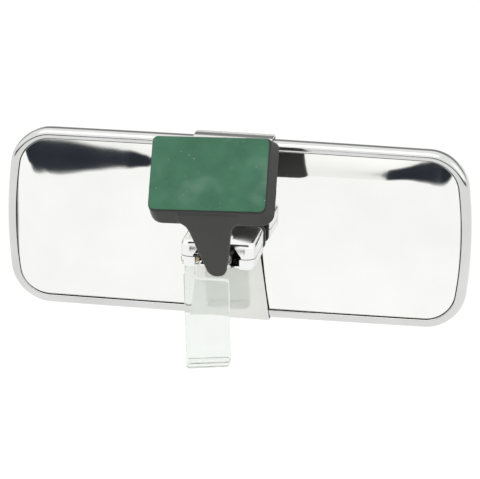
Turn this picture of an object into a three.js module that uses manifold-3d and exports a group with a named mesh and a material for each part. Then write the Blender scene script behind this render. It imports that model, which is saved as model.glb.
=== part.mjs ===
// Interior rearview mirror: clear dip lever, chromed ball clamp, windscreen foot.
// Millimetres. X runs across the head, the glass faces +Y, the windscreen side faces -Y, Z is up.
import * as THREE from "three";
import { mergeVertices } from "three/addons/utils/BufferGeometryUtils.js";
import Module from "manifold-3d";

const wasm = await Module();
wasm.setup();

// ---- driving sizes ----
const HEAD_WIDTH = 209.5;
const HEAD_HEIGHT = 82.6;
const HEAD_DEPTH = 9.6;
const CORNER_RADIUS = 16;
const SIDE_BOW = 4;
const LONG_BOW = 0.46;
const RIM_WALL = 2;
const RIM_BACK_LIP = 4;
const RIM_FRONT_LIP = 3.9;
const GLASS_TOP = 5.2;
const GLASS_BOTTOM = 2.2;
const SHEET = 0.8;
const BALL_RADIUS = 5.5;
const LINER_WALL = 0.7;
const CHEEK_WIDTH = 4.6;
const DIP_ARM_WIDTH = 2;
const CLAMP_TOP = 6.1;
const CLAMP_BOTTOM = 6.0;
const CLAMP_NEAR = 9;
const CLAMP_FAR = 19;
const ARM_THICKNESS = 3.6;
const STUD_LENGTH = 12.6;
const PAD_WIDTH = 50.6;
const PAD_HEIGHT = 32.2;
const PAD_THICKNESS = 0.9;
const FOOT_DEPTH = 8.4;
const PAD_LEAN = 31;
const ARM_LEAN = 30;
const ARM_LENGTH = 38.2;
const FOOT_ROLL = 2.2;
const FOOT_TURN = -0.3;
const PLATE_SKEW = 1.3;
const STRAP_SHIFT = -2.2;
const LEVER_WIDTH = 19.8;
const LEVER_OFFSET = -5.55;
const LEVER_SLANT = 2.4;
const LEVER_TAB = 4.2;
const LEVER_THICKNESS = 2.6;
const LEVER_REACH = 55.5;
const LEVER_LEAN = 10.5;
const STRAP_HALF_MID = 14;
const STRAP_HALF_END = 17.7;
const STRAP_SHEET = 0.7;
const PIN_RADIUS = 1.5;
const SCREW_RADIUS = 1.1;

// ---- clearances ----
const GAP = 0.3;
const PART_GAP = 0.15;
const DIP_GAP = 1;

// ---- places that several pieces share, head frame with Y = 0 on the rim's back ----
const BALL = new THREE.Vector3(0, -29, -0.8);
const DIP_AXIS = new THREE.Vector3(0, BALL.y + 17.4, BALL.z);
const LEVER_AXIS = new THREE.Vector3(0, BALL.y - 5.2, BALL.z - 2.9);
const STRAP_TOP = 6.3;
const SHELL_CROWN = 1.7;
const LINER_IN = BALL_RADIUS + GAP;
const LINER_OUT = LINER_IN + LINER_WALL;
const GRIP_IN = LINER_OUT + GAP;
const GRIP_OUT = GRIP_IN + LINER_WALL;
const DOME_IN = GRIP_OUT + GAP;
const DOME_OUT = DOME_IN + SHEET;
const CLAMP_FRONT_Y = BALL.y - CLAMP_NEAR;
const CLAMP_REAR_Y = BALL.y + CLAMP_FAR;
const DIP_ARM_IN = GRIP_OUT + 0.6;
const BLOCK_HALF = DIP_ARM_IN + DIP_ARM_WIDTH;
const CHEEK_IN = BLOCK_HALF + 0.7;
const CHEEK_OUT = CHEEK_IN + CHEEK_WIDTH;
const CLAMP_HALF_WIDTH = CHEEK_OUT + GAP + SHEET;
const SCREW_X = (CHEEK_IN + CHEEK_OUT) / 2;
const SCREW_Y = BALL.y + 7;
const STRAP_SCREW_X = STRAP_HALF_MID - 3.4;
const TAB_OUT = -(CLAMP_HALF_WIDTH - SHEET - GAP * 3);
const SLEEVE_IN = -(DIP_ARM_IN + 0.2);
const LEVER_PIN_RADIUS = PIN_RADIUS - 0.2;

// ---- small builders ----
const rad = THREE.MathUtils.degToRad;

function weld(geometry) {
  const copy = geometry.clone();
  copy.deleteAttribute("normal");
  copy.deleteAttribute("uv");
  return mergeVertices(copy, 1e-4);
}

function solidOf(geometry) {
  const welded = weld(geometry);
  return new wasm.Manifold(new wasm.Mesh({
    numProp: 3,
    vertProperties: Float32Array.from(welded.attributes.position.array),
    triVerts: Uint32Array.from(welded.index.array),
  }));
}

function geometryOf(solid) {
  const mesh = solid.getMesh();
  const geometry = new THREE.BufferGeometry();
  geometry.setAttribute("position", new THREE.BufferAttribute(Float32Array.from(mesh.vertProperties), 3));
  geometry.setIndex(new THREE.BufferAttribute(Uint32Array.from(mesh.triVerts), 1));
  geometry.computeVertexNormals();
  return geometry;
}

// A closed skin through rings of equal length; both ends closed by a fan, or joined to each other.
function loft(rings, joined = false) {
  const count = rings[0].length;
  const points = rings.flat();
  const faces = [];
  const steps = joined ? rings.length : rings.length - 1;
  for (let k = 0; k < steps; k += 1) {
    const here = k * count;
    const next = ((k + 1) % rings.length) * count;
    for (let i = 0; i < count; i += 1) {
      const j = (i + 1) % count;
      faces.push(here + i, here + j, next + j);
      faces.push(here + i, next + j, next + i);
    }
  }
  const all = [...points];
  if (!joined) {
    for (const end of [0, rings.length - 1]) {
      const middle = new THREE.Vector3();
      for (const p of rings[end]) middle.addScaledVector(p, 1 / count);
      const tip = all.push(middle) - 1;
      for (let i = 0; i < count; i += 1) {
        const a = end * count + i;
        const b = end * count + ((i + 1) % count);
        if (end === 0) faces.push(tip, b, a);
        else faces.push(tip, a, b);
      }
    }
  }
  const geometry = new THREE.BufferGeometry();
  geometry.setAttribute("position", new THREE.Float32BufferAttribute(all.flatMap((p) => [p.x, p.y, p.z]), 3));
  geometry.setIndex(faces);
  return facingOut(geometry);
}

function volumeOf(geometry) {
  const p = geometry.attributes.position;
  const index = geometry.index;
  const a = new THREE.Vector3();
  const b = new THREE.Vector3();
  const c = new THREE.Vector3();
  let sum = 0;
  for (let i = 0; i < index.count; i += 3) {
    a.fromBufferAttribute(p, index.getX(i));
    b.fromBufferAttribute(p, index.getX(i + 1));
    c.fromBufferAttribute(p, index.getX(i + 2));
    sum += a.dot(b.cross(c)) / 6;
  }
  return sum;
}

function facingOut(geometry) {
  if (volumeOf(geometry) < 0) {
    const index = Array.from(geometry.index.array);
    for (let i = 0; i < index.length; i += 3) {
      const keep = index[i + 1];
      index[i + 1] = index[i + 2];
      index[i + 2] = keep;
    }
    geometry.setIndex(index);
  }
  geometry.computeVertexNormals();
  return geometry;
}

function box(x0, x1, y0, y1, z0, z1) {
  const geometry = new THREE.BoxGeometry(x1 - x0, y1 - y0, z1 - z0);
  geometry.translate((x0 + x1) / 2, (y0 + y1) / 2, (z0 + z1) / 2);
  return geometry;
}

// A solid of revolution about the line from one point to another; profile pairs are radius, distance.
function turned(from, to, profile, sides = 24) {
  const points = profile.map(([r, d]) => new THREE.Vector2(r, d));
  const geometry = new THREE.LatheGeometry(points, sides);
  const way = new THREE.Vector3().subVectors(to, from).normalize();
  const turn = new THREE.Quaternion().setFromUnitVectors(new THREE.Vector3(0, 1, 0), way);
  geometry.applyQuaternion(turn);
  geometry.translate(from.x, from.y, from.z);
  return facingOut(weld(geometry));
}

function rod(from, to, radius, sides = 20) {
  const length = from.distanceTo(to);
  return turned(from, to, [[0, 0], [radius, 0], [radius, length], [0, length]], sides);
}

function screw(from, to, shank, head, headHeight) {
  const length = from.distanceTo(to);
  const profile = [[0, 0], [head * 0.7, 0], [head, headHeight * 0.45], [head, headHeight]];
  profile.push([shank, headHeight], [shank, length - 0.3], [shank - 0.3, length], [0, length]);
  return turned(from, to, profile, 20);
}

function ballOf(radius, across = 28, down = 18) {
  const geometry = new THREE.SphereGeometry(radius, across, down);
  geometry.rotateX(Math.PI / 2);
  geometry.translate(BALL.x, BALL.y, BALL.z);
  return geometry;
}

function addNode(name, geometry, colour, roughness, metalness, parent) {
  geometry.computeVertexNormals();
  const material = new THREE.MeshStandardMaterial({ color: colour, roughness, metalness });
  const mesh = new THREE.Mesh(geometry, material);
  mesh.name = name;
  parent.add(mesh);
  return mesh;
}

// Rounded rectangle with straight-side steps, as [across, up] pairs, anticlockwise.
function roundedOutline(width, height, radius, cornerSteps, longSteps, shortSteps, lowRadius = radius) {
  const out = [];
  const radii = [radius, radius, lowRadius, lowRadius];
  const centres = radii.map((r, k) => {
    const right = k === 0 || k === 3 ? 1 : -1;
    const up = k < 2 ? 1 : -1;
    return [right * (width / 2 - r), up * (height / 2 - r)];
  });
  for (let k = 0; k < 4; k += 1) {
    for (let i = 0; i <= cornerSteps; i += 1) {
      const angle = (k + i / cornerSteps) * Math.PI / 2;
      out.push([centres[k][0] + radii[k] * Math.cos(angle), centres[k][1] + radii[k] * Math.sin(angle)]);
    }
    const next = centres[(k + 1) % 4];
    const nextRadius = radii[(k + 1) % 4];
    const turn = (k + 1) * Math.PI / 2;
    const last = out[out.length - 1];
    const goal = [next[0] + nextRadius * Math.cos(turn), next[1] + nextRadius * Math.sin(turn)];
    const steps = k % 2 === 0 ? longSteps : shortSteps;
    for (let i = 1; i < steps; i += 1) {
      const t = i / steps;
      out.push([last[0] + (goal[0] - last[0]) * t, last[1] + (goal[1] - last[1]) * t]);
    }
  }
  return out;
}

// ---- head outline, pulled in by an inset ----
function headOutline(inset) {
  const width = HEAD_WIDTH - 2 * inset;
  const height = HEAD_HEIGHT - 2 * inset;
  const radius = Math.max(CORNER_RADIUS - inset, 3);
  return roundedOutline(width, height, radius, 8, 12, 6).map(([x, z]) => {
    const across = x / (width / 2);
    const up = z / (height / 2);
    return [x - across * SIDE_BOW * up * up, z - up * LONG_BOW * across * across];
  });
}

function headRing(inset, depth) {
  return headOutline(inset).map(([x, z]) => {
    const y = typeof depth === "function" ? depth(x, z) : depth;
    return new THREE.Vector3(x, y, z);
  });
}

// ---- root groups ----
const mirror = new THREE.Group();
mirror.name = "interior_mirror";
const headSide = new THREE.Group();
const strapSide = new THREE.Group();
const footSide = new THREE.Group();
mirror.add(headSide, strapSide);
strapSide.position.x = STRAP_SHIFT;
strapSide.add(footSide);

// ---- rim ----
const LIP_BACK = -0.9;
const GROOVE_BACK = 0.7;
const GROOVE_FRONT = HEAD_DEPTH - 1.9;

function rimBezel() {
  const front = HEAD_DEPTH - 0.8;
  const profile = [
    [RIM_BACK_LIP, LIP_BACK + 0.3],
    [RIM_BACK_LIP - 0.3, LIP_BACK],
    [1.2, LIP_BACK + 0.55],
    [0.4, LIP_BACK + 1.1],
    [0, LIP_BACK + 2.4],
    [0, front - 4.6],
    [0.3, front - 2.8],
    [0.9, front - 1.4],
    [1.8, front - 0.4],
    [2.8, front],
    [RIM_FRONT_LIP - 0.4, front],
    [RIM_FRONT_LIP, front - 0.4],
    [RIM_FRONT_LIP, GROOVE_FRONT],
    [RIM_WALL, GROOVE_FRONT],
    [RIM_WALL, GROOVE_BACK],
    [RIM_BACK_LIP, GROOVE_BACK],
  ];
  return loft(profile.map(([inset, y]) => headRing(inset, y)), true);
}
addNode("rim_bezel", rimBezel(), 0xd2d4d5, 0.2, 1, headSide);

// ---- back shell: a pressed pan whose flange sits in the rim's groove ----
const FLANGE_Y = GROOVE_BACK + GAP;
const PAN_EDGE = RIM_BACK_LIP + 0.4;

// The pan is pillowed across its height and eases down to its edge at the short sides.
function panY(x, z) {
  const up = Math.min(1, Math.abs(z) / (HEAD_HEIGHT / 2 - PAN_EDGE));
  const end = Math.min(1, (HEAD_WIDTH / 2 - PAN_EDGE - Math.abs(x)) / 9);
  const ease = 1 - (1 - Math.max(0, end)) ** 2;
  return 0.1 - (SHELL_CROWN + 0.1) * (1 - up * up) * ease;
}

function backShell() {
  const outside = [];
  const inside = [];
  const edge = RIM_WALL + GAP;
  outside.push(headRing(edge, FLANGE_Y), headRing(PAN_EDGE, FLANGE_Y));
  inside.push(headRing(edge, FLANGE_Y + SHEET), headRing(PAN_EDGE + SHEET * 0.6, FLANGE_Y + SHEET));
  for (const step of [0.1, 2.5, 6, 10, 16, 24, 32]) {
    outside.push(headRing(PAN_EDGE + step, panY));
    inside.push(headRing(PAN_EDGE + step + SHEET * 0.6, (x, z) => panY(x, z) + SHEET));
  }
  return loft([...outside.reverse(), ...inside]);
}
addNode("back_shell", backShell(), 0xe6e7e8, 0.12, 1, headSide);

// ---- wedge glass, silvering, backing, packing ----
const GLASS_FRONT = GROOVE_FRONT - GAP;

function glassBack(z) {
  const share = z / HEAD_HEIGHT + 0.5;
  return GLASS_FRONT - (GLASS_BOTTOM + (GLASS_TOP - GLASS_BOTTOM) * share);
}

function wedge(inset, back, front) {
  return loft([
    headRing(inset + 0.3, back),
    headRing(inset, (x, z) => back(x, z) + 0.25),
    headRing(inset, (x, z) => front(x, z) - 0.25),
    headRing(inset + 0.3, front),
  ]);
}

addNode("glass_prism", wedge(RIM_WALL + GAP, (x, z) => glassBack(z), () => GLASS_FRONT),
  0xc8d6d2, 0.03, 0, headSide);
addNode("mirror_silvering", loft([
  headRing(6.5, (x, z) => glassBack(z) - GAP - 0.35),
  headRing(6.5, (x, z) => glassBack(z) - GAP),
]), 0xdfe3e6, 0.05, 1, headSide);
const padBack = (x, z) => panY(x, z) + SHEET + GAP;
const padFront = (x, z) => glassBack(z) - GAP * 2 - 0.35;
addNode("backing_pad", wedge(10, padBack, padFront), 0x3a3b3c, 0.95, 0, headSide);

function packingStrip() {
  const low = -HEAD_HEIGHT / 2 + RIM_WALL + GAP + 0.5;
  const half = HEAD_WIDTH / 2 - CORNER_RADIUS - SIDE_BOW - 8;
  const back = FLANGE_Y + SHEET + GAP;
  return box(-half, half, back, glassBack(low) - GAP - 0.1, low, low + 3.2);
}
addNode("packing_strip", packingStrip(), 0x1c1c1c, 0.9, 0, headSide);

// ---- strap: a sprung band over the back, hooked over the top and bottom of the rim ----
const STRAP_FLAT = 10;

function strapPath() {
  const reach = HEAD_HEIGHT / 2 + GAP + STRAP_SHEET / 2;
  const low = LIP_BACK - GAP - STRAP_SHEET / 2;
  const claw = HEAD_DEPTH - 0.8 + GAP + STRAP_SHEET / 2;
  const half = [
    [claw, reach - 2.9],
    [claw, reach - 1.1],
    [claw - 0.4, reach - 0.3],
    [claw - 1.2, reach],
    [low + 2.2, reach],
    [low + 1, reach - 0.3],
    [low + 0.25, reach - 1],
    [low - 0.1, reach - 2.2],
    [low - 0.5, reach - 5],
    [-STRAP_TOP + STRAP_SHEET / 2 + 0.5, STRAP_FLAT + 4],
    [-STRAP_TOP + STRAP_SHEET / 2, STRAP_FLAT],
  ];
  const mirrored = half.map(([y, z]) => [y, -z]).reverse();
  return [...half, ...mirrored];
}

function strapHalfWidth(z) {
  const share = Math.min(1, Math.max(0, (Math.abs(z) - STRAP_FLAT) / (HEAD_HEIGHT / 2 - STRAP_FLAT)));
  return STRAP_HALF_MID + (STRAP_HALF_END - STRAP_HALF_MID) * share;
}

function sweptBand(path, halfWidthAt, thickness) {
  const rings = path.map(([y, z], k) => {
    const before = path[Math.max(k - 1, 0)];
    const after = path[Math.min(k + 1, path.length - 1)];
    const along = new THREE.Vector2(after[0] - before[0], after[1] - before[1]).normalize();
    const side = [-along.y * thickness / 2, along.x * thickness / 2];
    const half = halfWidthAt(z);
    return [
      new THREE.Vector3(-half, y + side[0], z + side[1]),
      new THREE.Vector3(half, y + side[0], z + side[1]),
      new THREE.Vector3(half, y - side[0], z - side[1]),
      new THREE.Vector3(-half, y - side[0], z - side[1]),
    ];
  });
  return loft(rings);
}

function strap() {
  let solid = solidOf(sweptBand(strapPath(), strapHalfWidth, STRAP_SHEET));
  for (const side of [-1, 1]) {
    const from = new THREE.Vector3(side * STRAP_SCREW_X, -1, BALL.z);
    const to = new THREE.Vector3(side * STRAP_SCREW_X, -9, BALL.z);
    solid = solid.subtract(solidOf(rod(from, to, SCREW_RADIUS + GAP)));
  }
  return geometryOf(solid);
}
addNode("strap", strap(), 0xdcdedf, 0.15, 1, strapSide);

// ---- pivot block screwed to the strap, with two dip arms that reach the lever ----
const BLOCK_BACK = -(STRAP_TOP + GAP);
const BLOCK_FRONT = CLAMP_REAR_Y + DIP_GAP;
const ARM_TIP = LEVER_AXIS.y + 3.1;

function pivotBlock() {
  const top = BALL.z + CLAMP_TOP - SHEET;
  const low = BALL.z - CLAMP_BOTTOM + SHEET;
  const plate = roundedOutline(CLAMP_HALF_WIDTH * 2, top - low, 2.4, 4, 1, 1);
  const ringAt = (y, shrink) => plate.map(([x, z]) => {
    return new THREE.Vector3(x * shrink, y, (z * shrink) + (top + low) / 2);
  });
  let solid = solidOf(loft([
    ringAt(BLOCK_BACK, 0.97),
    ringAt(BLOCK_BACK - 0.5, 1),
    ringAt(BLOCK_FRONT + 0.5, 1),
    ringAt(BLOCK_FRONT, 0.97),
  ]));
  const eye = PIN_RADIUS + 2.3;
  const axisFrom = new THREE.Vector3(-BLOCK_HALF, DIP_AXIS.y, DIP_AXIS.z);
  const axisTo = new THREE.Vector3(BLOCK_HALF, DIP_AXIS.y, DIP_AXIS.z);
  solid = solid.add(solidOf(rod(axisFrom, axisTo, eye - 0.8)));
  solid = solid.add(solidOf(box(-BLOCK_HALF, BLOCK_HALF, DIP_AXIS.y, BLOCK_FRONT + 1,
    DIP_AXIS.z - eye + 0.8, DIP_AXIS.z + eye - 0.8)));
  for (const side of [-1, 1]) {
    const near = side * DIP_ARM_IN;
    const far = side * BLOCK_HALF;
    solid = solid.add(solidOf(box(Math.min(near, far), Math.max(near, far), ARM_TIP, DIP_AXIS.y,
      DIP_AXIS.z - 1.4, DIP_AXIS.z + 1.4)));
    const from = new THREE.Vector3(side * STRAP_SCREW_X, BLOCK_BACK + 1, BALL.z);
    const to = new THREE.Vector3(side * STRAP_SCREW_X, BLOCK_FRONT + 0.6, BALL.z);
    solid = solid.subtract(solidOf(rod(from, to, SCREW_RADIUS + GAP)));
  }
  const pinFrom = new THREE.Vector3(-BLOCK_HALF - 5, DIP_AXIS.y, DIP_AXIS.z);
  const pinTo = new THREE.Vector3(BLOCK_HALF + 5, DIP_AXIS.y, DIP_AXIS.z);
  return geometryOf(solid.subtract(solidOf(rod(pinFrom, pinTo, PIN_RADIUS + GAP))));
}
addNode("pivot_block", pivotBlock(), 0x161616, 0.5, 0, strapSide);

for (const [side, word] of [[-1, "left"], [1, "right"]]) {
  const from = new THREE.Vector3(side * STRAP_SCREW_X, -(STRAP_TOP - STRAP_SHEET - GAP - 1.3), BALL.z);
  const to = new THREE.Vector3(side * STRAP_SCREW_X, BLOCK_FRONT + 0.9, BALL.z);
  addNode(`block_screw_${word}`, screw(from, to, SCREW_RADIUS, 2.4, 1.3), 0x9a9c9e, 0.3, 1, strapSide);
}

// ---- clamp shells around the ball ----
function clampRing(z, inset) {
  const width = (CLAMP_HALF_WIDTH - inset) * 2;
  const length = CLAMP_FAR + CLAMP_NEAR - 2 * inset;
  const middle = (CLAMP_FRONT_Y + CLAMP_REAR_Y) / 2;
  return roundedOutline(width, length, Math.max(4.2 - inset, 1.5), 5, 1, 1).map(([x, y]) => {
    return new THREE.Vector3(x, y + middle, z);
  });
}

// A rounded tray, open at the parting line; "up" is 1 for the upper half, -1 for the lower.
function clampTray(up, reach, inset, parting) {
  const z = (d) => BALL.z + up * d;
  return loft([
    clampRing(z(parting), inset),
    clampRing(z(reach - 1.7), inset),
    clampRing(z(reach - 0.7), inset + 0.4),
    clampRing(z(reach - 0.2), inset + 1),
    clampRing(z(reach), inset + 1.9),
  ]);
}

const STUD_WAY = new THREE.Vector3(0, -Math.cos(rad(ARM_LEAN)), -Math.sin(rad(ARM_LEAN)));
const ARM_WAY = new THREE.Vector3(0, -Math.sin(rad(ARM_LEAN)), Math.cos(rad(ARM_LEAN)));

function studCone(halfAngle) {
  const reach = 14;
  const profile = [[0, 0], [reach * Math.tan(rad(halfAngle)), reach], [0, reach]];
  return turned(BALL, BALL.clone().add(STUD_WAY), profile, 28);
}

function clampShell(up) {
  const reach = up > 0 ? CLAMP_TOP : CLAMP_BOTTOM;
  const offset = up > 0 ? -0.8 : 0.8;
  let outer = solidOf(clampTray(up, reach, 0, offset + PART_GAP));
  const capZ = BALL.z + up * (reach - SHEET);
  const capEnd = capZ + up * 20;
  const cap = box(-20, 20, BALL.y - 20, BALL.y + 20, Math.min(capZ, capEnd), Math.max(capZ, capEnd));
  outer = outer.add(solidOf(ballOf(DOME_OUT)).intersect(solidOf(cap)));
  let shell = outer.subtract(solidOf(clampTray(up, reach - SHEET, SHEET, offset - 1)));
  shell = shell.subtract(solidOf(ballOf(DOME_IN)));
  if (up > 0) {
    for (const side of [-1, 1]) {
      const from = new THREE.Vector3(side * SCREW_X, SCREW_Y, BALL.z + reach - 0.3);
      const to = new THREE.Vector3(side * SCREW_X, SCREW_Y, BALL.z + 1.6);
      shell = shell.add(solidOf(rod(from, to, SCREW_RADIUS + GAP + 0.7)));
      const holeFrom = new THREE.Vector3(side * SCREW_X, SCREW_Y, BALL.z + reach - 1.2);
      shell = shell.subtract(solidOf(rod(holeFrom, to.clone().setZ(BALL.z), SCREW_RADIUS + GAP)));
    }
    const mouth = new THREE.Shape();
    mouth.moveTo(-10.6, -3);
    mouth.lineTo(10.6, -3);
    mouth.lineTo(10.6, 0);
    mouth.lineTo(7.2, reach - 1.1);
    mouth.lineTo(-7.2, reach - 1.1);
    mouth.lineTo(-10.6, 0);
    const cut = new THREE.ExtrudeGeometry(mouth, { depth: 4, bevelEnabled: false });
    cut.rotateX(Math.PI / 2);
    cut.translate(0, CLAMP_FRONT_Y + 3, BALL.z);
    shell = shell.subtract(solidOf(cut));
  } else {
    for (const side of [-1, 1]) {
      const from = new THREE.Vector3(side * SCREW_X, SCREW_Y, BALL.z - reach - 1);
      const to = new THREE.Vector3(side * SCREW_X, SCREW_Y, BALL.z);
      shell = shell.subtract(solidOf(rod(from, to, SCREW_RADIUS + GAP)));
    }
    const mouthHalf = CLAMP_HALF_WIDTH * 0.6;
    shell = shell.subtract(solidOf(box(-mouthHalf, mouthHalf, CLAMP_FRONT_Y - 1, BALL.y - 5.3,
      BALL.z - 12, BALL.z + 1)));
    shell = shell.subtract(solidOf(box(-CLAMP_HALF_WIDTH + SHEET + 0.2, SLEEVE_IN + GAP,
      CLAMP_FRONT_Y + SHEET + 0.2, LEVER_AXIS.y + 4.4, BALL.z - 12, LEVER_AXIS.z)));
    const pinFrom = new THREE.Vector3(-CLAMP_HALF_WIDTH - 2, LEVER_AXIS.y, LEVER_AXIS.z);
    const pinTo = new THREE.Vector3(-CLAMP_HALF_WIDTH + 2, LEVER_AXIS.y, LEVER_AXIS.z);
    shell = shell.subtract(solidOf(rod(pinFrom, pinTo, LEVER_PIN_RADIUS + GAP)));
    shell = shell.subtract(solidOf(studCone(39)));
  }
  const open = CLAMP_HALF_WIDTH - SHEET;
  shell = shell.subtract(solidOf(box(-open, open, CLAMP_REAR_Y - 2, CLAMP_REAR_Y + 1,
    BALL.z - CLAMP_BOTTOM + SHEET, BALL.z + CLAMP_TOP - SHEET)));
  return geometryOf(shell);
}
addNode("clamp_shell_upper", clampShell(1), 0xdfe1e3, 0.1, 1, strapSide);
addNode("clamp_shell_lower", clampShell(-1), 0xdfe1e3, 0.1, 1, strapSide);

// ---- spacer cheeks inside the clamp ----
function cheek(side) {
  const near = side * CHEEK_IN;
  const far = side * CHEEK_OUT;
  const top = BALL.z + CLAMP_TOP - SHEET - GAP;
  const low = BALL.z - CLAMP_BOTTOM + SHEET + GAP;
  const room = solidOf(clampTray(1, CLAMP_TOP - SHEET - GAP, SHEET + GAP, 0))
    .add(solidOf(clampTray(-1, CLAMP_BOTTOM - SHEET - GAP, SHEET + GAP, -0.2)));
  let solid = room.intersect(solidOf(box(Math.min(near, far), Math.max(near, far),
    BALL.y - 0.6, CLAMP_REAR_Y - 1.3, low, top)));
  const screwTop = new THREE.Vector3(side * SCREW_X, SCREW_Y, top + 1);
  const screwLow = new THREE.Vector3(side * SCREW_X, SCREW_Y, low - 1);
  solid = solid.subtract(solidOf(rod(screwTop, screwLow, SCREW_RADIUS + GAP)));
  solid = solid.subtract(solidOf(box(Math.min(near, far) - 1, Math.max(near, far) + 1,
    SCREW_Y - 2.6, SCREW_Y + 2.6, BALL.z + 1.3, top + 1)));
  const from = new THREE.Vector3(near - side, DIP_AXIS.y, DIP_AXIS.z);
  const to = new THREE.Vector3(far - side * 0.8, DIP_AXIS.y, DIP_AXIS.z);
  return geometryOf(solid.subtract(solidOf(rod(from, to, PIN_RADIUS + GAP))));
}
addNode("cheek_left", cheek(-1), 0x2a2a2b, 0.5, 0.2, strapSide);
addNode("cheek_right", cheek(1), 0x2a2a2b, 0.5, 0.2, strapSide);

const PIN_END = CHEEK_OUT - 0.8 - GAP;
addNode("dip_pin", rod(
  new THREE.Vector3(-PIN_END, DIP_AXIS.y, DIP_AXIS.z),
  new THREE.Vector3(PIN_END, DIP_AXIS.y, DIP_AXIS.z), PIN_RADIUS), 0xb4b6b8, 0.25, 1, strapSide);

for (const [side, word] of [[-1, "left"], [1, "right"]]) {
  const low = new THREE.Vector3(side * SCREW_X, SCREW_Y, BALL.z - CLAMP_BOTTOM - GAP - 1.2);
  const high = new THREE.Vector3(side * SCREW_X, SCREW_Y, BALL.z + CLAMP_TOP - 1.7);
  addNode(`clamp_screw_${word}`, screw(low, high, SCREW_RADIUS, 2.2, 1.2), 0xa6a8aa, 0.3, 1, strapSide);
}

// The lever's pin is staked flush in the left wall of the lower shell.
const pinOut = new THREE.Vector3(-CLAMP_HALF_WIDTH + 0.1, LEVER_AXIS.y, LEVER_AXIS.z);
const pinIn = new THREE.Vector3(SLEEVE_IN, LEVER_AXIS.y, LEVER_AXIS.z);
addNode("lever_pin", rod(pinOut, pinIn, LEVER_PIN_RADIUS), 0xb08a4a, 0.3, 1, strapSide);

// ---- toggle spring: a leaf under the upper shell that presses on the block's eye ----
function toggleSpring() {
  const top = BALL.z + CLAMP_TOP - SHEET - GAP - 0.3;
  const path = [
    [CLAMP_REAR_Y - 1.6, top],
    [CLAMP_REAR_Y - 3.2, top - 0.5],
    [CLAMP_REAR_Y - 5.4, top - 0.2],
    [CLAMP_REAR_Y - 8, top],
  ];
  return sweptBand(path, () => BLOCK_HALF - 1.4, 0.45);
}
addNode("toggle_spring", toggleSpring(), 0x8d9196, 0.3, 1, strapSide);

// ---- ball, liner and grip shell ----
function ballStud() {
  const back = STUD_LENGTH - ARM_THICKNESS;
  const tip = back + ARM_THICKNESS - 1;
  const profile = [[0, -BALL_RADIUS]];
  const neck = 2.4;
  const steps = 12;
  const neckAngle = Math.acos(neck / BALL_RADIUS);
  for (let i = 1; i <= steps; i += 1) {
    const angle = -Math.PI / 2 + (Math.PI / 2 + neckAngle) * i / steps;
    profile.push([BALL_RADIUS * Math.cos(angle), BALL_RADIUS * Math.sin(angle)]);
  }
  profile.push([neck, back - 1.3], [3, back - 1.1], [3, back - GAP]);
  profile.push([neck, back - GAP], [neck, tip], [0, tip]);
  return turned(BALL, BALL.clone().add(STUD_WAY), profile, 28);
}
addNode("ball_stud", ballStud(), 0xb9bcbe, 0.2, 1, footSide);

function ballCup(inner, outer, openAngle) {
  const steps = 12;
  const profile = [];
  const start = -Math.PI / 2;
  const end = Math.PI / 2 - rad(openAngle);
  for (let i = 0; i <= steps; i += 1) {
    const angle = start + (end - start) * i / steps;
    profile.push([i === 0 ? 0 : outer * Math.cos(angle), outer * Math.sin(angle)]);
  }
  for (let i = steps; i >= 0; i -= 1) {
    const angle = start + (end - start) * i / steps;
    profile.push([i === 0 ? 0 : inner * Math.cos(angle), inner * Math.sin(angle)]);
  }
  return turned(BALL, BALL.clone().add(STUD_WAY), profile, 28);
}
addNode("ball_liner", ballCup(LINER_IN, LINER_OUT, 44), 0xeae6da, 0.5, 0, strapSide);
addNode("grip_shell", ballCup(GRIP_IN, GRIP_OUT, 50), 0x8f9396, 0.35, 1, strapSide);

// ---- foot casting: drafted plate and tapering arm ----
const PAD_NORMAL = new THREE.Vector3(0, -Math.cos(rad(PAD_LEAN)), Math.sin(rad(PAD_LEAN)));
const PAD_UP = new THREE.Vector3(0, Math.sin(rad(PAD_LEAN)), Math.cos(rad(PAD_LEAN)));
const armTop = BALL.clone().addScaledVector(STUD_WAY, STUD_LENGTH).addScaledVector(ARM_WAY, ARM_LENGTH);
const padCentre = armTop.clone().addScaledVector(PAD_UP, PAD_HEIGHT / 2 + 0.6)
  .addScaledVector(PAD_NORMAL, PAD_THICKNESS + GAP);

function padRing(width, height, radius, lowRadius, depth, drop, shift = 0) {
  return roundedOutline(width, height, radius, 5, 1, 1, lowRadius).map(([x, z]) => {
    return padCentre.clone()
      .add(new THREE.Vector3(x + shift, 0, 0))
      .addScaledVector(PAD_UP, z + drop)
      .addScaledVector(PAD_NORMAL, -depth);
  });
}

addNode("adhesive_pad", loft([
  padRing(PAD_WIDTH, PAD_HEIGHT, 2, 2.6, PAD_THICKNESS, 0),
  padRing(PAD_WIDTH, PAD_HEIGHT, 2, 2.6, 0, 0),
]), 0x3f7a5b, 0.35, 0, footSide);

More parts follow.
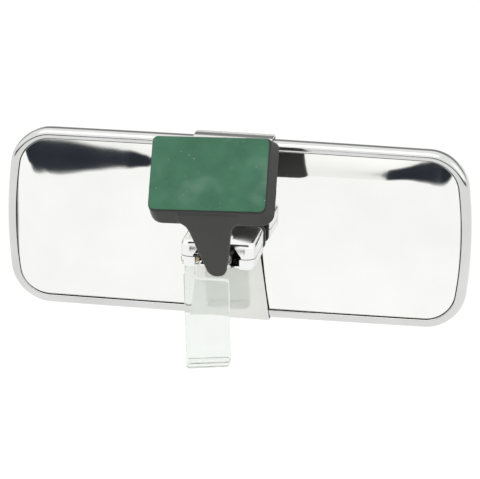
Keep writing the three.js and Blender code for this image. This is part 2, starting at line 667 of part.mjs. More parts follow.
function mountFoot() {
  const start = PAD_THICKNESS + GAP;
  const draft = FOOT_DEPTH * Math.cos(rad(67)) / Math.sin(rad(67));
  const back = start + FOOT_DEPTH;
  const wide = PAD_WIDTH + 1.2;
  const tall = PAD_HEIGHT + 1.2;
  const plate = solidOf(loft([
    padRing(wide - 1, tall - 1, 2, 3, start, 0),
    padRing(wide, tall, 2.2, 3.4, start + 0.5, 0),
    padRing(wide + 2.6, tall + draft + 0.2, 2.6, 5.6, back - 0.8, -draft / 2, PLATE_SKEW),
    padRing(wide + 1.4, tall + draft - 1.2, 2.2, 5, back, -draft / 2, PLATE_SKEW),
  ]));
  const half = [
    [0, -3.8], [1.9, -3.5], [3.2, -2.5], [4.3, -0.6], [5.1, 3.2],
    [6.9, 11.5], [8.1, 19], [9.3, 25], [10.4, 28], [13.6, 31.4], [13.6, ARM_LENGTH - 1.5],
  ];
  const outline = new THREE.Shape();
  outline.moveTo(half[0][0], half[0][1]);
  for (const [x, u] of half.slice(1)) outline.lineTo(x, u);
  for (const [x, u] of half.slice(1).reverse()) outline.lineTo(-x, u);
  const depth = ARM_THICKNESS - 1.2;
  const arm = new THREE.ExtrudeGeometry(outline, {
    depth, bevelEnabled: true, bevelThickness: 0.6, bevelSize: 0.6, bevelOffset: -0.6, bevelSegments: 2,
  });
  const place = new THREE.Matrix4().makeBasis(new THREE.Vector3(1, 0, 0), ARM_WAY, STUD_WAY);
  place.setPosition(BALL.clone().addScaledVector(STUD_WAY, STUD_LENGTH - ARM_THICKNESS + 0.6));
  arm.applyMatrix4(place);
  let solid = solidOf(arm).add(plate);
  const from = BALL.clone().addScaledVector(STUD_WAY, STUD_LENGTH - ARM_THICKNESS - 1);
  const to = BALL.clone().addScaledVector(STUD_WAY, STUD_LENGTH - 1 + GAP);
  solid = solid.subtract(solidOf(rod(from, to, 2.4 + GAP, 28)));
  return geometryOf(solid);
}
addNode("mount_foot", mountFoot(), 0x1b1b1b, 0.45, 0.2, footSide);

// ---- clear dip lever: a narrow tab on its pin, a broad offset tongue, a thick lip ----
function dipLever() {
  const across = new THREE.Vector3(1, 0, 0);
  const along = new THREE.Vector3(0, Math.sin(rad(LEVER_LEAN)), -Math.cos(rad(LEVER_LEAN)));
  const thick = new THREE.Vector3().crossVectors(across, along);
  const place = new THREE.Matrix4().makeBasis(across, along, thick);
  place.setPosition(LEVER_AXIS);
  const left = LEVER_OFFSET - LEVER_WIDTH / 2;
  const right = LEVER_OFFSET + LEVER_WIDTH / 2;
  const tabIn = TAB_OUT + LEVER_TAB;
  const neck = 6.5;
  const shoulder = 9.8;
  const outline = new THREE.Shape();
  outline.moveTo(TAB_OUT + 1.4, -2);
  outline.lineTo(tabIn, -2);
  outline.lineTo(tabIn, shoulder - 2);
  outline.quadraticCurveTo(tabIn, shoulder, tabIn + 2, shoulder);
  outline.lineTo(right - 1.5, shoulder);
  outline.quadraticCurveTo(right, shoulder, right, shoulder + 1.5);
  const low = LEVER_REACH - LEVER_SLANT;
  outline.lineTo(right, low - 2.2);
  outline.quadraticCurveTo(right, low, right - 2.2, low + LEVER_SLANT * 2.2 / LEVER_WIDTH);
  outline.lineTo(left + 1.2, LEVER_REACH);
  outline.quadraticCurveTo(left, LEVER_REACH, left, LEVER_REACH - 1.2);
  outline.lineTo(left, neck + 1.4);
  outline.lineTo(TAB_OUT, neck);
  outline.lineTo(TAB_OUT, -0.6);
  const sweep = { depth: LEVER_THICKNESS, bevelEnabled: false, curveSegments: 4 };
  const tongue = new THREE.ExtrudeGeometry(outline, sweep);
  tongue.translate(0, 0, -LEVER_THICKNESS / 2);
  let solid = solidOf(tongue);
  const lip = new THREE.BoxGeometry(LEVER_WIDTH - 1.4, 2.4, LEVER_THICKNESS + 2);
  lip.rotateZ(-Math.atan2(LEVER_SLANT, LEVER_WIDTH));
  lip.translate(LEVER_OFFSET, LEVER_REACH - LEVER_SLANT / 2 - 2.2, 0);
  solid = solid.add(solidOf(lip));
  const sleeveOut = TAB_OUT + 1.5;
  const sleeveIn = SLEEVE_IN - GAP;
  const sleeve = new THREE.CylinderGeometry(2.5, 2.5, sleeveIn - sleeveOut, 20);
  sleeve.rotateZ(Math.PI / 2);
  sleeve.translate((sleeveIn + sleeveOut) / 2, 0, 0);
  solid = solid.add(solidOf(sleeve));
  const bore = LEVER_PIN_RADIUS + GAP;
  const hole = new THREE.CylinderGeometry(bore, bore, LEVER_WIDTH * 2, 20);
  hole.rotateZ(Math.PI / 2);
  solid = solid.subtract(solidOf(hole));
  const geometry = geometryOf(solid);
  geometry.applyMatrix4(place);
  return facingOut(geometry);
}
addNode("dip_lever", dipLever(), 0xdfe9e4, 0.08, 0, strapSide);

// ---- placing: the foot leans and turns a little on the ball, and the pad's centre is the origin ----
footSide.position.copy(BALL);
footSide.rotation.set(0, -rad(FOOT_ROLL), rad(FOOT_TURN), "ZYX");
for (const child of footSide.children) child.position.sub(BALL);
mirror.updateMatrixWorld(true);
mirror.position.copy(footSide.localToWorld(padCentre.clone().sub(BALL))).negate();
mirror.updateMatrixWorld(true);

export default mirror;
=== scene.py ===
import math

import bmesh
import bpy
from mathutils import Matrix, Vector


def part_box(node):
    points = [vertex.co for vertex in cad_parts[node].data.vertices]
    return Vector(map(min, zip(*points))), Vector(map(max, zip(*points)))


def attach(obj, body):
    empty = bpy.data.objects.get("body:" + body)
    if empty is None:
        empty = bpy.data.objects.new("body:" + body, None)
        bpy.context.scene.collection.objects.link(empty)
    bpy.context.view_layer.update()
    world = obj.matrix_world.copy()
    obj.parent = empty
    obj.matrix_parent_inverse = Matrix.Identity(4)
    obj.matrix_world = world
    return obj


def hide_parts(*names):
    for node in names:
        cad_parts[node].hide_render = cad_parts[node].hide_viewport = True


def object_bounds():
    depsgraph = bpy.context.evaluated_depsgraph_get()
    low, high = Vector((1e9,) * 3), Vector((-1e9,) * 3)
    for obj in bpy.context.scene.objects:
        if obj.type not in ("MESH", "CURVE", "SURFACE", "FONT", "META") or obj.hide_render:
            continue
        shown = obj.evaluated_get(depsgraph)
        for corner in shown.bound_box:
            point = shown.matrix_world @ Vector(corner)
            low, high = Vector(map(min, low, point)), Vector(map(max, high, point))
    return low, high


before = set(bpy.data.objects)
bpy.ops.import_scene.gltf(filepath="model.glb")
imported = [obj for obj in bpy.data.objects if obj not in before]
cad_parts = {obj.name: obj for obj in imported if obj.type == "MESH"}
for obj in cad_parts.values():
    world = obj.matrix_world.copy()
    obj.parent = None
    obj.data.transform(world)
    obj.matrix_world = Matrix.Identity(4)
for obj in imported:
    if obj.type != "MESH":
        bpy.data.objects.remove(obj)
CAD_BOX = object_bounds()
MM = 0.001

# The head's own frame: X across, Y = 0 on the plane of the rim's back, Z up, in millimetres.
RIM_LOW, RIM_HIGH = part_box("rim_bezel")
HEAD_W = (RIM_HIGH.x - RIM_LOW.x) / MM
HEAD_H = (RIM_HIGH.z - RIM_LOW.z) / MM
HEAD_O = Vector(((RIM_LOW.x + RIM_HIGH.x) / 2, RIM_LOW.y + 0.9 * MM, (RIM_LOW.z + RIM_HIGH.z) / 2))
CORNER_R = 16.0
SIDE_BOW = 4.0
LONG_BOW = 0.46


def at(x, y, z):
    """A point of the head's frame, in metres in the row frame."""
    return HEAD_O + Vector((x, y, z)) * MM


# ---------------------------------------------------------------- meshes
def new_object(name, verts, faces):
    mesh = bpy.data.meshes.new(name)
    mesh.from_pydata([tuple(v) for v in verts], [], faces)
    mesh.validate()
    bm = bmesh.new()
    bm.from_mesh(mesh)
    bmesh.ops.recalc_face_normals(bm, faces=bm.faces)
    bm.to_mesh(mesh)
    bm.free()
    for p in mesh.polygons:
        p.use_smooth = True
    obj = bpy.data.objects.new(name, mesh)
    bpy.context.scene.collection.objects.link(obj)
    return obj


# Steps of the head's outline: on a corner's arc, on a long side and on a short side.
CORNER_STEPS = 14
LONG_STEPS = 56
SHORT_STEPS = 14


def strip_cap(count):
    """Upright strips that close the first ring between opposite points, and a face at its last short side."""
    m = count - SHORT_STEPS
    faces = [(j, j + 1, m - j - 1, m - j) for j in range(m // 2) if m - j - 1 > j + 1]
    faces.append((0,) + tuple(range(m, count)))
    return faces


def loft(name, rings, joined=False):
    """A skin through rings of equal length, which meets itself again or is closed at both ends."""
    count = len(rings[0])
    verts = [v for ring in rings for v in ring]
    faces = []
    steps = len(rings) if joined else len(rings) - 1
    for k in range(steps):
        a = k * count
        b = ((k + 1) % len(rings)) * count
        for i in range(count):
            j = (i + 1) % count
            faces.append((a + i, a + j, b + j, b + i))
    if not joined:
        faces += strip_cap(count)
        faces.append(tuple((len(rings) - 1) * count + i for i in range(count)))
    return new_object(name, verts, faces)


def sharpen(obj, degrees):
    for p in obj.data.polygons:
        p.use_smooth = True
    obj.data.set_sharp_from_angle(angle=math.radians(degrees))


def bevel(obj, width, degrees):
    m = obj.modifiers.new("edge", "BEVEL")
    m.width = width * MM
    m.segments = 2
    m.limit_method = "ANGLE"
    m.angle_limit = math.radians(degrees)
    m.harden_normals = False
    m.use_clamp_overlap = True


WELD = 2e-6
FLAT_DEGREES = 1.5
EDGE_DEGREES = 32
ROUNDED_DEGREES = 50


def copy_of(node, dissolve):
    """A new object with a CAD node's mesh, its points welded and, if asked, its flats merged."""
    bm = bmesh.new()
    bm.from_mesh(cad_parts[node].data)
    bmesh.ops.remove_doubles(bm, verts=bm.verts, dist=WELD)
    if dissolve:
        limit = math.radians(FLAT_DEGREES)
        bmesh.ops.dissolve_limit(
            bm, angle_limit=limit, verts=bm.verts, edges=bm.edges, use_dissolve_boundaries=False
        )
    mesh = bpy.data.meshes.new(node + "_look")
    bm.to_mesh(mesh)
    bm.free()
    obj = bpy.data.objects.new(node + "_look", mesh)
    bpy.context.scene.collection.objects.link(obj)
    return obj


def refined(node, edge):
    """A copy of a CAD node with merged flats, softened edges and smooth curves."""
    obj = copy_of(node, True)
    if edge:
        bevel(obj, edge, EDGE_DEGREES)
    sharpen(obj, ROUNDED_DEGREES if edge else EDGE_DEGREES)
    return obj


def remeshed(node, voxel, rounds):
    """A copy of a CAD node, voxel remeshed and smoothed so that its edges and inner corners are rounded."""
    obj = copy_of(node, False)
    m = obj.modifiers.new("voxel", "REMESH")
    m.mode = "VOXEL"
    m.voxel_size = voxel * MM
    m.use_smooth_shade = True
    s = obj.modifiers.new("soft", "SMOOTH")
    s.factor = 0.5
    s.iterations = rounds
    bpy.context.view_layer.update()
    graph = bpy.context.evaluated_depsgraph_get()
    made = bpy.data.meshes.new_from_object(obj.evaluated_get(graph))
    obj.modifiers.clear()
    obj.data = made
    for p in made.polygons:
        p.use_smooth = True
    return obj


# ---------------------------------------------------------------- materials
def base_material(name, color, rough, metal=0.0):
    mat = bpy.data.materials.new(name)
    mat.use_nodes = True
    nodes = mat.node_tree.nodes
    bsdf = nodes["Principled BSDF"]
    bsdf.inputs["Base Color"].default_value = (*color, 1)
    bsdf.inputs["Roughness"].default_value = rough
    bsdf.inputs["Metallic"].default_value = metal
    return mat, nodes, mat.node_tree.links, bsdf


def coords(nodes, links, scale=(1, 1, 1)):
    tex = nodes.new("ShaderNodeTexCoord")
    mapping = nodes.new("ShaderNodeMapping")
    mapping.inputs["Scale"].default_value = scale
    links.new(tex.outputs["Object"], mapping.inputs["Vector"])
    return mapping.outputs["Vector"]


def noise_tex(nodes, links, vector, scale, detail=4, rough=0.5):
    tex = nodes.new("ShaderNodeTexNoise")
    tex.inputs["Scale"].default_value = scale
    tex.inputs["Detail"].default_value = detail
    tex.inputs["Roughness"].default_value = rough
    links.new(vector, tex.inputs["Vector"])
    return tex.outputs["Fac"]


def ramp(nodes, links, fac, stops):
    r = nodes.new("ShaderNodeValToRGB")
    while len(r.color_ramp.elements) < len(stops):
        r.color_ramp.elements.new(0.5)
    for e, (pos, col) in zip(r.color_ramp.elements, stops):
        e.position = pos
        e.color = (*col, 1) if len(col) == 3 else col
    links.new(fac, r.inputs["Fac"])
    return r.outputs["Color"]


def spread(nodes, links, fac, low, high):
    m = nodes.new("ShaderNodeMapRange")
    m.inputs["To Min"].default_value = low
    m.inputs["To Max"].default_value = high
    links.new(fac, m.inputs["Value"])
    return m.outputs["Result"]


def bumped(nodes, links, bsdf, height, strength, distance):
    b = nodes.new("ShaderNodeBump")
    b.inputs["Strength"].default_value = strength
    b.inputs["Distance"].default_value = distance
    links.new(height, b.inputs["Height"])
    links.new(b.outputs["Normal"], bsdf.inputs["Normal"])


def textured(name, dark, light, rough, metal, grain, cloud, bump, stretch=(1, 1, 1)):
    """A finish whose colour and roughness drift a little, with a fine grain in its bump.

    The colours are the drift's two ends and rough its two roughnesses; grain and cloud are the scales of the
    fine and the broad pattern.
    """
    mat, nodes, links, bsdf = base_material(name, light, sum(rough) / 2, metal)
    vector = coords(nodes, links, stretch)
    broad = noise_tex(nodes, links, vector, cloud)
    fine = noise_tex(nodes, links, vector, grain, 6, 0.6)
    links.new(ramp(nodes, links, broad, [(0.3, dark), (0.7, light)]), bsdf.inputs["Base Color"])
    mix = nodes.new("ShaderNodeMath")
    mix.operation = "MULTIPLY_ADD"
    mix.inputs[1].default_value = 0.5
    links.new(fine, mix.inputs[0])
    half = nodes.new("ShaderNodeMath")
    half.operation = "MULTIPLY"
    half.inputs[1].default_value = 0.5
    links.new(broad, half.inputs[0])
    links.new(half.outputs[0], mix.inputs[2])
    links.new(spread(nodes, links, mix.outputs[0], *rough), bsdf.inputs["Roughness"])
    if bump:
        bumped(nodes, links, bsdf, fine, bump, 0.00012)
    return mat


BLACK, WHITE = (0, 0, 0), (1, 1, 1)


def pad_material():
    """Green film with broad cloudy patches and a few pale specks."""
    mat, nodes, links, bsdf = base_material("pad_film", (0.045, 0.16, 0.09), 0.3)
    vector = coords(nodes, links)
    cloud = noise_tex(nodes, links, vector, 95, 3, 0.55)
    color = ramp(nodes, links, cloud, [(0.3, (0.022, 0.115, 0.058)), (0.7, (0.036, 0.155, 0.084))])
    haze = nodes.new("ShaderNodeMix")
    haze.data_type = "RGBA"
    haze.inputs["B"].default_value = (0.13, 0.24, 0.18, 1)
    patch = noise_tex(nodes, links, vector, 55, 2, 0.5)
    links.new(ramp(nodes, links, patch, [(0.54, BLACK), (0.72, (0.6, 0.6, 0.6))]), haze.inputs["Factor"])
    links.new(color, haze.inputs["A"])
    color = haze.outputs["Result"]
    cells = nodes.new("ShaderNodeTexVoronoi")
    cells.inputs["Scale"].default_value = 400
    links.new(vector, cells.inputs["Vector"])
    speck = ramp(nodes, links, cells.outputs["Distance"], [(0.0, WHITE), (0.13, BLACK)])
    pick = noise_tex(nodes, links, vector, 260, 1)
    chosen = ramp(nodes, links, pick, [(0.56, BLACK), (0.6, WHITE)])
    both = nodes.new("ShaderNodeMix")
    both.data_type = "RGBA"
    both.blend_type = "MULTIPLY"
    both.inputs["Factor"].default_value = 1
    links.new(speck, both.inputs["A"])
    links.new(chosen, both.inputs["B"])
    shade = noise_tex(nodes, links, vector, 700, 1)
    tint = ramp(nodes, links, shade, [(0.45, (0.5, 0.42, 0.3)), (0.55, (0.8, 0.85, 0.8))])
    mixed = nodes.new("ShaderNodeMix")
    mixed.data_type = "RGBA"
    links.new(both.outputs["Result"], mixed.inputs["Factor"])
    links.new(color, mixed.inputs["A"])
    links.new(tint, mixed.inputs["B"])
    links.new(mixed.outputs["Result"], bsdf.inputs["Base Color"])
    links.new(spread(nodes, links, cloud, 0.18, 0.42), bsdf.inputs["Roughness"])
    bsdf.inputs["Specular IOR Level"].default_value = 0.4
    bumped(nodes, links, bsdf, noise_tex(nodes, links, vector, 210, 5), 0.25, 0.00025)
    return mat


def clear_material(name, tint, ior, rough, clear=1):
    """A see-through material; clear is the share of light that goes through, the rest makes it milky."""
    mat, nodes, links, bsdf = base_material(name, tint, rough)
    bsdf.inputs["Transmission Weight"].default_value = clear
    bsdf.inputs["IOR"].default_value = ior
    vector = coords(nodes, links)
    fac = noise_tex(nodes, links, vector, 130, 3)
    pale = tuple(min(1, c * 1.03) for c in tint)
    links.new(ramp(nodes, links, fac, [(0.3, tint), (0.7, pale)]), bsdf.inputs["Base Color"])
    links.new(spread(nodes, links, fac, rough * 0.6, rough * 1.4), bsdf.inputs["Roughness"])
    return mat


M = {
    "polished": textured(
        "polished_steel", (0.855, 0.86, 0.84), (0.905, 0.91, 0.89), (0.03, 0.07), 1.0, 1400, 30, 0.02
    ),
    "strap": textured(
        "polished_strip", (0.66, 0.665, 0.64), (0.74, 0.745, 0.72), (0.06, 0.14), 1.0, 1400, 60, 0.03
    ),
    "chrome": textured(
        "chrome_plate", (0.8, 0.805, 0.8), (0.88, 0.885, 0.88), (0.13, 0.22), 1.0, 1200, 80, 0.05
    ),
    "black": textured(
        "satin_black_enamel", (0.009, 0.0095, 0.0085), (0.016, 0.017, 0.015), (0.28, 0.5), 0.0, 1500, 50, 0.22
    ),
    "acetal": textured(
        "black_acetal", (0.008, 0.008, 0.008), (0.014, 0.014, 0.014), (0.35, 0.55), 0.0, 1100, 80, 0.15
    ),
    "rim": textured(
        "rim_bright", (0.62, 0.625, 0.62), (0.69, 0.695, 0.69), (0.07, 0.15), 1.0, 1300, 40, 0.03
    ),
    "steel": textured(
        "turned_steel", (0.5, 0.51, 0.52), (0.62, 0.63, 0.64), (0.18, 0.32), 1.0, 1200, 120, 0.1, (1, 6, 1)
    ),
    "spring": textured(
        "spring_steel", (0.3, 0.31, 0.33), (0.4, 0.41, 0.43), (0.2, 0.36), 1.0, 1000, 100, 0.1, (6, 1, 1)
    ),
    "brass": textured(
        "turned_brass", (0.55, 0.38, 0.16), (0.68, 0.49, 0.22), (0.2, 0.34), 1.0, 1100, 120, 0.1
    ),
    "nylon": textured(
        "natural_nylon", (0.7, 0.67, 0.58), (0.8, 0.78, 0.7), (0.35, 0.5), 0.0, 900, 90, 0.1
    ),
    "foam": textured(
        "dark_foam", (0.02, 0.02, 0.02), (0.05, 0.05, 0.05), (0.8, 0.95), 0.0, 1600, 300, 0.6
    ),
    "silver": textured(
        "silvered_layer", (0.9, 0.91, 0.92), (0.93, 0.94, 0.95), (0.01, 0.03), 1.0, 500, 20, 0.0
    ),
    "pad": pad_material(),
    "glass": clear_material("wedge_glass", (0.93, 0.975, 0.955), 1.52, 0.005),
    "lever": clear_material("clear_acrylic", (0.9, 0.925, 0.9), 1.25, 0.06, 0.82),
}


def finish_piece(obj, body, material, node):
    obj.data.materials.clear()
    obj.data.materials.append(M[material])
    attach(obj, body)
    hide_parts(node)


# ---------------------------------------------------------------- head outline
def outline(inset):
    """The head's outline moved in: a rounded rectangle whose sides bow out by SIDE_BOW and LONG_BOW."""
    w = HEAD_W - 2 * inset
    h = HEAD_H - 2 * inset
    r = max(CORNER_R - inset, 3)
    hw, hh = w / 2 - r, h / 2 - r
    centres = [(hw, hh), (-hw, hh), (-hw, -hh), (hw, -hh)]
    flat = []
    for k in range(4):
        for i in range(CORNER_STEPS + 1):
            a = (k + i / CORNER_STEPS) * math.pi / 2
            flat.append((centres[k][0] + r * math.cos(a), centres[k][1] + r * math.sin(a)))
        nxt = centres[(k + 1) % 4]
        turn = (k + 1) * math.pi / 2
        last = flat[-1]
        goal = (nxt[0] + r * math.cos(turn), nxt[1] + r * math.sin(turn))
        steps = LONG_STEPS if k % 2 == 0 else SHORT_STEPS
        for i in range(1, steps):
            t = i / steps
            flat.append((last[0] + (goal[0] - last[0]) * t, last[1] + (goal[1] - last[1]) * t))
    out = []
    for x, z in flat:
        across, up = x / (w / 2), z / (h / 2)
        out.append((x - across * SIDE_BOW * up * up, z - up * LONG_BOW * across * across))
    return out


def head_ring(inset, y):
    """One turn of the outline, at a depth that is a number or a function of the place."""
    return [at(x, y(x, z) if callable(y) else y, z) for x, z in outline(inset)]


# ---------------------------------------------------------------- rim
# The rim's frontmost and rearmost faces.
LIP_BACK = -0.9
DEPTH = (RIM_HIGH.y - RIM_LOW.y) / MM + LIP_BACK


def rim():
    """The rim's rolled section, as insets from the outline and depths, carried around the head."""
    front = DEPTH
    lip = LIP_BACK
    profile = [
        (4.0, 0.7), (4.0, lip + 0.34), (3.94, lip + 0.14), (3.78, lip + 0.03), (3.55, lip),
        (2.9, lip + 0.02), (2.3, lip + 0.07), (1.8, lip + 0.2), (1.35, lip + 0.45), (0.9, lip + 0.82),
        (0.52, lip + 1.25), (0.24, lip + 1.75), (0.06, lip + 2.35), (0.0, lip + 3.0),
        (0.0, front - 4.6), (0.08, front - 3.7), (0.3, front - 2.8), (0.58, front - 2.0),
        (0.95, front - 1.35), (1.4, front - 0.75), (1.95, front - 0.32), (2.5, front - 0.08), (3.1, front),
        (3.55, front - 0.02), (3.8, front - 0.14), (3.9, front - 0.4), (3.9, front - 1.1),
        (2.0, front - 1.1), (2.0, 0.7),
    ]
    return loft("rim_look", [head_ring(i, y) for i, y in profile], joined=True)


finish_piece(rim(), "head", "rim", "rim_bezel")


# ---------------------------------------------------------------- back shell
PAN_EDGE = 4.4
PAN_CROWN = 1.8
PAN_END_EASE = 9

# The tilts between which the polished pan mirrors the dark room, and the roll's steepest slope, in degrees.
DARK_FROM, DARK_TO = 7, 12.2
STEEPEST = 9.5

# How the pan's top edge rolls over along the head: place across, then the distances below its edge
# at which the face tilts by DARK_FROM and by DARK_TO.
PAN_ROLL = (
    (-110, 15.6, -1.5), (-80, 15.4, -1.0), (-62, 12.9, 1.5), (-49, 11.2, 2.5), (-40, 9.9, 4.7),
    (-10, 9.7, 4.7), (17, 9.5, 4.7), (68, 9.3, 4.6), (75, 8.6, 3.0), (82, 9.0, 0), (90, 10.0, -3.0),
    (110, 10.0, -3.0),
)


def crown_tilt(s, top):
    """The pillow's own tilt at a distance below the pan's edge, in degrees."""
    return math.degrees(math.atan(2 * PAN_CROWN / top * (1 - s / top)))


def roll_at(x, top):
    """The roll's whole tilt and its width at a place across the head."""
    near, far = PAN_ROLL[-1][1:]
    for (x0, *start), (x1, *stop) in zip(PAN_ROLL, PAN_ROLL[1:]):
        if x <= x1:
            k = min(1, max(0, (x - x0) / (x1 - x0)))
            k = k * k * (3 - 2 * k)
            near, far = (a + (b - a) * k for a, b in zip(start, stop))
            break
    rate = ((DARK_TO - crown_tilt(far, top)) - (DARK_FROM - crown_tilt(near, top))) / max(near - far, 0.4)
    tilt = DARK_FROM - crown_tilt(near, top) + rate * near
    return tilt, tilt / rate


def roll_lift(s, tilt, width):
    """How far the roll has lifted the face at a distance below the pan's edge; its slope grows to a limit."""
    held = max(0, width * (1 - STEEPEST / tilt))
    steep = math.tan(math.radians(min(STEEPEST, tilt)))
    easing = width - held
    return steep * (min(s, held) + easing / 2 * (1 - min(1, max(0, 1 - (s - held) / easing)) ** 2))


def pan_y(x, z):
    """The pan's outer face: pillowed, with a rolled top edge, easing down at the short sides."""
    top = HEAD_H / 2 - PAN_EDGE
    up = min(1, abs(z) / top)
    end = min(1, max(0, (HEAD_W / 2 - PAN_EDGE - abs(x)) / PAN_END_EASE))
    ease = 1 - (1 - end) ** 2
    tilt, width = roll_at(x, top)
    if z > 0:
        lift = roll_lift(top * (1 - up), tilt, width)
    else:
        lift = roll_lift(top, tilt, width) * (1 - up ** 4)
    return 0.1 - (PAN_CROWN * (1 - up * up) + lift) * ease


# Distances of the pan's rings from its edge, closer together where the roll is.
PAN_RINGS = (
    0.02, 0.12, 0.4, 0.9, 1.6, 2.5, 3.6, 5, 6, 7, 8, 9, 10, 11.5, 13, 15, 17, 19, 21, 23, 25, 28, 31, 33.4,
)


def back_shell():
    """The pressed pan with its outer and inner face, and the flange around it that the rim holds."""
    edge = 2.3
    thick = 0.8
    flange = 1.0
    outside = [head_ring(edge, flange), head_ring(PAN_EDGE - 0.1, flange), head_ring(PAN_EDGE, flange - 0.2)]
    inside = [head_ring(edge, flange + thick), head_ring(PAN_EDGE + thick, flange + thick)]
    insets = [PAN_EDGE + d for d in PAN_RINGS]
    for i in insets:
        outside.append(head_ring(i, pan_y))
    for i in insets[2:]:
        inside.append(head_ring(i + 0.5, lambda x, z: pan_y(x, z) + thick))
    return loft("back_shell_look", outside[::-1] + inside)


finish_piece(back_shell(), "head", "polished", "back_shell")

# ---------------------------------------------------------------- the rest, from the CAD shapes
# Each node's body, slot and material, and how wide its edges are softened, in millimetres.
LOOKS = {
    "strap": ("head", "steel_polished", "strap", 0.25),
    "pivot_block": ("head", "block_black", "acetal", 0.15),
    "block_screw_left": ("head", "steel_bright", "steel", 0.08),
    "block_screw_right": ("head", "steel_bright", "steel", 0.08),
    "glass_prism": ("head", "glass", "glass", 0),
    "mirror_silvering": ("head", "silvering", "silver", 0),
    "backing_pad": ("head", "foam", "foam", 0),
    "packing_strip": ("head", "foam", "foam", 0.1),
    "clamp_shell_upper": ("clamp", "chrome", "chrome", 0),
    "clamp_shell_lower": ("clamp", "chrome", "chrome", 0),
    "cheek_left": ("clamp", "block_black", "acetal", 0.1),
    "cheek_right": ("clamp", "block_black", "acetal", 0.1),
    "dip_pin": ("clamp", "steel_bright", "steel", 0.1),
    "lever_pin": ("clamp", "brass", "brass", 0.1),
    "clamp_screw_left": ("clamp", "steel_bright", "steel", 0.08),
    "clamp_screw_right": ("clamp", "steel_bright", "steel", 0.08),
    "toggle_spring": ("clamp", "spring_steel", "spring", 0.05),
    "ball_stud": ("foot", "steel_bright", "steel", 0.05),
    "ball_liner": ("liner", "nylon", "nylon", 0),
    "grip_shell": ("grip", "spring_steel", "spring", 0),
    "adhesive_pad": ("foot", "pad_green", "pad", 0.2),
    "dip_lever": ("lever", "lever_clear", "lever", 0.2),
}
for node, (body, slot, material, edge) in LOOKS.items():
    finish_piece(refined(node, edge), body, material, node)

FOOT_VOXEL = 0.4
FOOT_SMOOTHING = 4
finish_piece(remeshed("mount_foot", FOOT_VOXEL, FOOT_SMOOTHING), "foot", "black", "mount_foot")

# ---------------------------------------------------------------- stage: floor, world, lights, camera
scene = bpy.context.scene
FLOOR_Z = CAD_BOX[0].z - 0.35
FLOOR_HALF = 6


def make_floor():
    """A plain pale floor that gives off some light itself, so that it stays even and white."""
    mat, _, _, bsdf = base_material("floor_white", (0.3, 0.3, 0.3), 0.9)
    bsdf.inputs["Specular IOR Level"].default_value = 0.1
    bsdf.inputs["Emission Color"].default_value = (1, 1, 1, 1)
    bsdf.inputs["Emission Strength"].default_value = 0.72
    corners = [(x * FLOOR_HALF, y * FLOOR_HALF, FLOOR_Z) for x, y in ((-1, -1), (1, -1), (1, 1), (-1, 1))]
    floor = new_object("floor", corners, [(0, 1, 2, 3)])
    floor.data.materials.append(mat)


make_floor()

world = bpy.data.worlds.new("studio")
scene.world = world
world.use_nodes = True
wn, wl = world.node_tree.nodes, world.node_tree.links
background = wn["Background"]
tex = wn.new("ShaderNodeTexCoord")
split = wn.new("ShaderNodeSeparateXYZ")
wl.new(tex.outputs["Generated"], split.inputs["Vector"])


def math_node(op, a, b):
    n = wn.new("ShaderNodeMath")
    n.operation = op
    for k, v in enumerate((a, b)):
        if hasattr(v, "links"):
            wl.new(v, n.inputs[k])
        else:
            n.inputs[k].default_value = v
    return n.outputs[0]


def eased(value, low, high):
    """Zero below the first limit, one above the second; the limits may be given in falling order."""
    n = wn.new("ShaderNodeMapRange")
    n.interpolation_type = "SMOOTHSTEP"
    n.inputs["From Min"].default_value = low
    n.inputs["From Max"].default_value = high
    wl.new(value, n.inputs["Value"])
    return n.outputs["Result"]


def blend(fac, a, b):
    n = wn.new("ShaderNodeMix")
    n.data_type = "RGBA"
    for key, v in (("A", a), ("B", b)):
        if hasattr(v, "links"):
            wl.new(v, n.inputs[key])
        else:
            n.inputs[key].default_value = (*v, 1)
    wl.new(fac, n.inputs["Factor"])
    return n.outputs["Result"]


X, Y, Z = split.outputs["X"], split.outputs["Y"], split.outputs["Z"]
# The surroundings that the metal mirrors: a white table below, a pale ceiling above and the unlit room as a
# dark band between them. Behind the head, where the glass looks, there is a grey patch.
TABLE, CEILING, ROOM = (0.97, 0.97, 0.955), (1.15, 1.15, 1.13), (0.022, 0.026, 0.036)
REAR_GREY = (0.2, 0.205, 0.21)
BACKDROP = (1.05, 1.05, 1.05)
BAND_MIDDLE = 0.02
sky = blend(eased(Z, 0.0, 0.35), TABLE, CEILING)
# A pale screen stands in the band, which narrows to nothing towards both sides of the screen.
left_part = eased(X, -0.17, -0.205)
right_part = eased(X, -0.114, -0.098)
part = math_node("POWER", math_node("ADD", left_part, right_part), 0.6)
spread_z = math_node("DIVIDE", math_node("SUBTRACT", Z, BAND_MIDDLE), math_node("MAXIMUM", part, 0.01))
band_z = math_node("ADD", spread_z, BAND_MIDDLE)
below_top = eased(band_z, 0.125, 0.09)
above_floor = eased(band_z, -0.09, -0.045)
front = math_node("MULTIPLY", eased(Y, -0.1, -0.4), eased(part, 0.02, 0.2))
front_dark = math_node("MULTIPLY", math_node("MULTIPLY", below_top, above_floor), front)
rear = eased(Y, 0.2, 0.5)
rear_dark = math_node("MULTIPLY", math_node("MULTIPLY", eased(Z, 0.05, 0.2), eased(Z, 0.62, 0.4)), rear)
world_color = blend(front_dark, sky, ROOM)
world_color = blend(math_node("MULTIPLY", rear_dark, 0.93), world_color, REAR_GREY)
path = wn.new("ShaderNodeLightPath")
world_color = blend(path.outputs["Is Camera Ray"], world_color, BACKDROP)
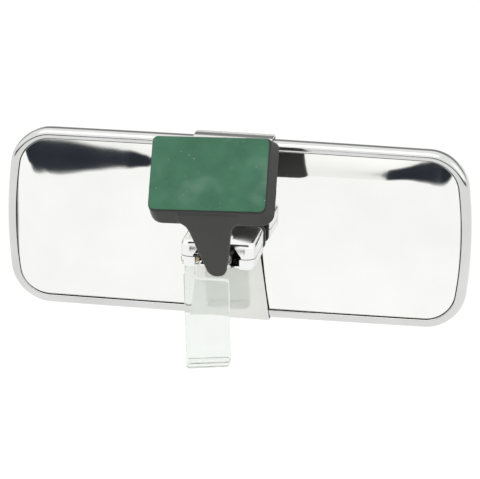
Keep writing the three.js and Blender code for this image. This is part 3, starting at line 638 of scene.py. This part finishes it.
wl.new(world_color, background.inputs["Color"])
background.inputs["Strength"].default_value = 1.0


def area_light(name, place, size, power):
    """A soft rectangular light that faces the head."""
    data = bpy.data.lights.new(name, "AREA")
    data.shape = "RECTANGLE"
    data.size, data.size_y = size
    data.energy = power
    obj = bpy.data.objects.new(name, data)
    scene.collection.objects.link(obj)
    obj.location = place
    obj.rotation_mode = "QUATERNION"
    obj.rotation_quaternion = (HEAD_O - place).to_track_quat("-Z", "Y")


area_light("soft_top", HEAD_O + Vector((-0.2, -0.5, 1.1)), (1.2, 0.8), 1.6)
area_light("soft_right", HEAD_O + Vector((1.1, -0.5, 0.5)), (0.7, 0.9), 0.7)

# The camera's side angle, height angle and roll in degrees, its distance in metres, the picture's scale and
# width, the sensor's width, and how far right of and below the head's middle it aims, in millimetres.
AZIMUTH, ELEVATION, CAMERA_ROLL = 9.4, 18.3, 0.75
DISTANCE = 1.5
PX_PER_MM = 2.243
PICTURE_WIDTH = 480
SENSOR_MM = 36
AIM_RIGHT, AIM_DOWN = 1.5, 4.9


def make_camera():
    a, e, r = (math.radians(v) for v in (AZIMUTH, ELEVATION, CAMERA_ROLL))
    back = Vector((math.sin(a) * math.cos(e), -math.cos(a) * math.cos(e), math.sin(e)))
    level = Vector((math.cos(a), math.sin(a), 0))
    upward = back.cross(level)
    right = level * math.cos(r) + upward * math.sin(r)
    up = upward * math.cos(r) - level * math.sin(r)
    data = bpy.data.cameras.new("camera")
    data.sensor_width = SENSOR_MM
    data.lens = PX_PER_MM * DISTANCE / MM * SENSOR_MM / PICTURE_WIDTH
    data.clip_start = 0.05
    data.clip_end = 50
    camera = bpy.data.objects.new("camera", data)
    scene.collection.objects.link(camera)
    aim = HEAD_O + right * AIM_RIGHT * MM - up * AIM_DOWN * MM
    turn = Matrix((right, up, back)).transposed()
    camera.matrix_world = Matrix.Translation(aim + back * DISTANCE) @ turn.to_4x4()
    scene.camera = camera


make_camera()

scene.view_settings.view_transform = "Standard"
scene.view_settings.look = "None"
